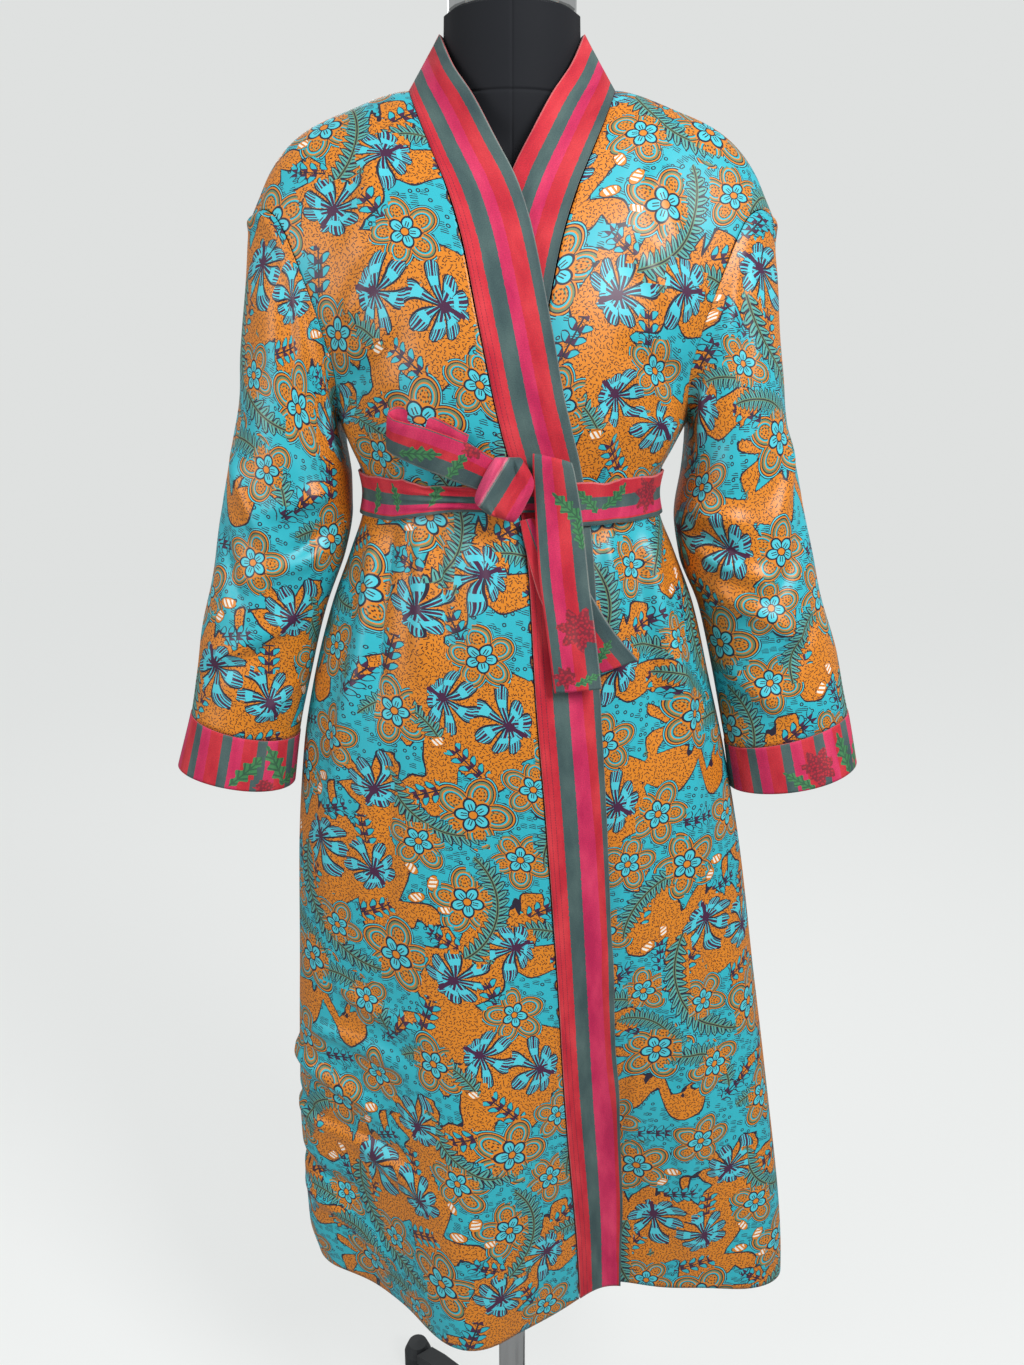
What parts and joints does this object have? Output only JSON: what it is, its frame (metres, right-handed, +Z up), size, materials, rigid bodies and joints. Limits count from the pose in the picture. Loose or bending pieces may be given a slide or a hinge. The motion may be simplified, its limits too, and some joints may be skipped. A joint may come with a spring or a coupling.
{
  "type": "wrap robe on a dress form",
  "caption": "Mid-calf printed satin wrap robe with striped velvet front band, cuffs and tied belt, standing on a limbless dress form with a chrome pole and star base.",
  "frame": {"origin": "on the floor, on the axis of the dress form's pole, at the middle of the footprint", "axes": "+Z up, the robe's front faces -Y, +X towards the wearer's left"},
  "size_m": [0.7104, 0.451, 1.8],
  "materials": {
    "printed_satin": "smooth printed satin with a soft sheen",
    "striped_velvet": "cut-pile velvet, striped red, pink and grey-teal",
    "form_cover": "black matt stretch cover",
    "chrome": "polished chrome",
    "base_metal": "dark grey paint, satin"
  },
  "bodies": {
    "root": {"back_right": "printed_satin", "back_left": "printed_satin", "front_right": "printed_satin", "front_left": "printed_satin", "sleeve_right_front": "printed_satin", "sleeve_right_back": "printed_satin", "sleeve_left_front": "printed_satin", "sleeve_left_back": "printed_satin", "cuff_right": "striped_velvet", "cuff_left": "striped_velvet", "band_right": "striped_velvet", "band_left": "striped_velvet", "band_neck": "striped_velvet", "belt": "striped_velvet", "knot": "striped_velvet", "bow": "striped_velvet", "tail_front": "striped_velvet", "tail_rear": "striped_velvet", "form_torso": "form_cover", "neck_cap": "chrome", "pole": "chrome", "base_hub": "base_metal", "leg_1": "base_metal", "leg_2": "base_metal", "leg_3": "base_metal", "leg_4": "base_metal", "foot_1": "base_metal", "foot_2": "base_metal", "foot_3": "base_metal", "foot_4": "base_metal"}
  },
  "joints": []
}
